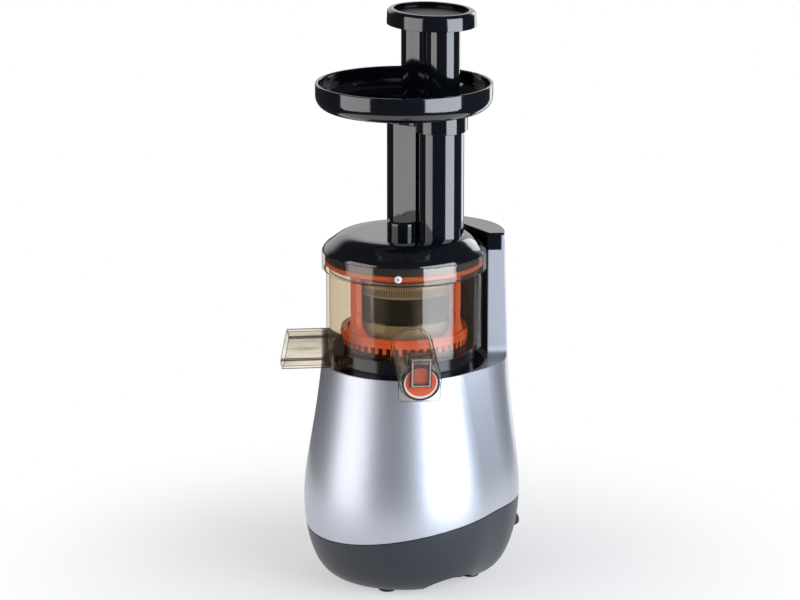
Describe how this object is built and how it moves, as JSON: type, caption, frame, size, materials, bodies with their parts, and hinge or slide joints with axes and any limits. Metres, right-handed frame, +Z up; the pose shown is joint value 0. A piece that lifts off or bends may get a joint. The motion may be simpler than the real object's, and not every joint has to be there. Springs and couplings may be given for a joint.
{
  "type": "cold press juicer",
  "caption": "Upright cold press juicer: pear-shaped silver motor body with a rear column, clear drum with an orange brush cage, black lid, feed chute, bowl and pusher.",
  "frame": {"origin": "the middle of the footprint, at the plane the feet stand on; the axis of the squeezing screw stands 22.5 mm from it towards +Y", "axes": "+Z up, -X along the pulp spout, -Y along the juice spout"},
  "size_m": [0.1905, 0.2005, 0.437],
  "materials": {
    "silver_paint": "satin",
    "anthracite": "satin",
    "gloss_black": "gloss",
    "black_plastic": "satin",
    "black_rubber": "matte",
    "smoke_clear": "gloss",
    "amber_clear": "gloss",
    "orange_plastic": "satin",
    "orange_silicone": "satin",
    "gear_plastic": "satin",
    "steel": "satin",
    "cast_aluminium": "satin",
    "ferrite": "matte",
    "copper": "satin",
    "board_green": "satin"
  },
  "bodies": {
    "base": {"upper_housing": "silver_paint", "base_housing": "anthracite", "base_plate": "black_plastic", "feet": "black_rubber", "base_screws": "steel", "cord_gland": "black_rubber", "switch_bezel": "black_plastic", "column_cap": "gloss_black", "lid_switch": "black_plastic", "drum_seat": "gloss_black", "gearbox_housing": "cast_aluminium", "gearbox_cover": "cast_aluminium", "bearings": "steel", "lay_pin": "steel", "motor_can": "steel", "motor_magnets": "ferrite", "control_board": "board_green", "drum": "smoke_clear", "juice_spout": "smoke_clear", "pulp_spout": "smoke_clear", "pulp_channel": "smoke_clear", "drum_seal": "orange_silicone", "flap_pin": "steel", "strainer_frame": "amber_clear", "strainer_mesh": "steel"},
    "switch_rocker": {"switch_rocker": "black_plastic"},
    "armature": {"motor_shaft": "steel", "armature_core": "steel", "armature_windings": "copper"},
    "lay_wheel": {"lay_wheel": "gear_plastic"},
    "squeezing_screw": {"output_shaft": "steel", "output_wheel": "steel", "screw": "black_plastic", "screw_gear": "black_plastic", "screw_insert": "steel"},
    "pinion": {"pinion": "black_plastic"},
    "brush": {"brush_frame": "orange_plastic", "brush_wipers": "orange_silicone"},
    "juice_flap": {"juice_flap": "smoke_clear", "juice_seal": "orange_silicone"},
    "lid": {"lid": "gloss_black"},
    "feed_bowl": {"feed_bowl": "gloss_black"},
    "pusher": {"pusher": "gloss_black"}
  },
  "joints": [
    {"name": "switch_rock", "type": "hinge", "parent": "base", "child": "switch_rocker", "pos_m": [0.07848, 0.06078, 0.09764], "axis": [-0.1017, -0.0496, 0.9936], "range_deg": [-10, 10]},
    {"name": "screw_spin", "type": "hinge", "parent": "base", "child": "squeezing_screw", "pos_m": [0, 0.0225, 0.19], "axis": [0, 0, 1], "continuous": true},
    {"name": "armature_spin", "type": "hinge", "parent": "base", "child": "armature", "pos_m": [0, 0.0225, 0.09], "axis": [0, 0, 1], "continuous": true},
    {"name": "lay_spin", "type": "hinge", "parent": "base", "child": "lay_wheel", "pos_m": [0.02696, 0.03565, 0.14], "axis": [0, 0, 1], "continuous": true},
    {"name": "pinion_spin", "type": "hinge", "parent": "base", "child": "pinion", "pos_m": [0.01563, 0.0519, 0.19], "axis": [0, 0, 1], "continuous": true},
    {"name": "brush_spin", "type": "hinge", "parent": "base", "child": "brush", "pos_m": [0, 0.0225, 0.2], "axis": [0, 0, 1], "continuous": true},
    {"name": "flap_swing", "type": "hinge", "parent": "base", "child": "juice_flap", "pos_m": [0, -0.08904, 0.20421], "axis": [-1, 0, 0], "range_deg": [0, 100]},
    {"name": "lid_turn", "type": "hinge", "parent": "base", "child": "lid", "pos_m": [0, 0.0225, 0.26], "axis": [0, 0, 1], "range_deg": [0, 30]},
    {"name": "bowl_lift", "type": "slide", "parent": "lid", "child": "feed_bowl", "axis": [0, 0, 1], "range_m": [0, 0.03]},
    {"name": "pusher_slide", "type": "slide", "parent": "lid", "child": "pusher", "axis": [0, 0, 1], "range_m": [0, 0.1]}
  ],
  "couplings": [
    {"joint": "armature_spin", "follows": "screw_spin", "ratio": 15},
    {"joint": "lay_spin", "follows": "screw_spin", "ratio": -3},
    {"joint": "pinion_spin", "follows": "screw_spin", "ratio": -2},
    {"joint": "brush_spin", "follows": "screw_spin", "ratio": -0.5}
  ]
}
